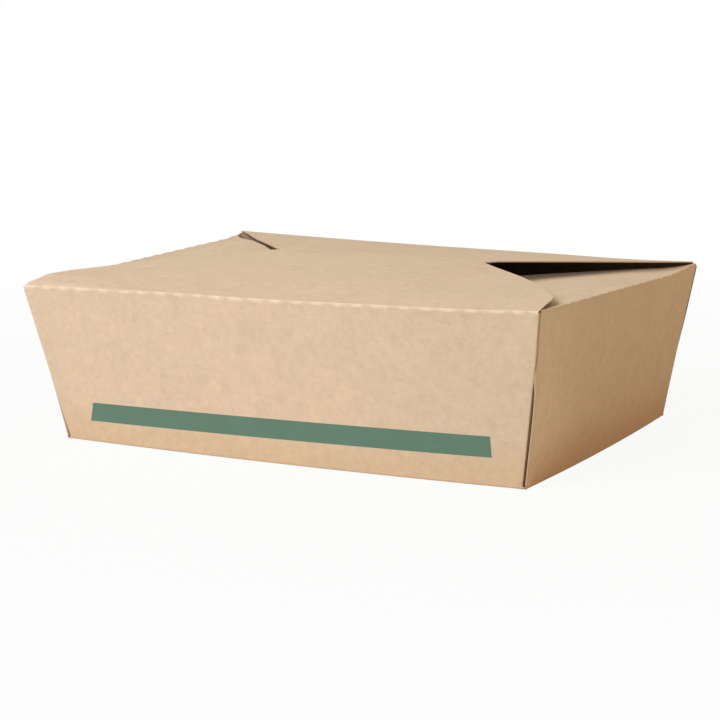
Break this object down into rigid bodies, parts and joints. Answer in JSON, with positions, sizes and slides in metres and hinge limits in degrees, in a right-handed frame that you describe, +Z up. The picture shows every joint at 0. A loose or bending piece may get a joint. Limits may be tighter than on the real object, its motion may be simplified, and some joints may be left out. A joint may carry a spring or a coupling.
{
  "type": "takeaway box",
  "caption": "Closed folded kraft board takeaway box with a tapered tub, folded corner webs and a front lid flap that opens on a perforated crease.",
  "frame": {"origin": "middle of the base's underside, which is the middle of the bounding box's floor", "axes": "+X along the long side, +Y from the front wall to the back wall, +Z up"},
  "size_m": [0.216, 0.159, 0.0687],
  "materials": {
    "kraft_board": "uncoated kraft board, matt, with fine fibres",
    "lid_board": "uncoated kraft board, matt, with fine fibres",
    "green_ink": "matt green ink on kraft board"
  },
  "bodies": {
    "tub": {"carton": "kraft_board", "green_band": "green_ink"},
    "lid": {"front_flap": "lid_board"}
  },
  "joints": [
    {"name": "lid_crease", "type": "hinge", "parent": "tub", "child": "lid", "pos_m": [0, -0.07927, 0.06348], "axis": [1, 0, 0], "range_deg": [0, 200]}
  ]
}
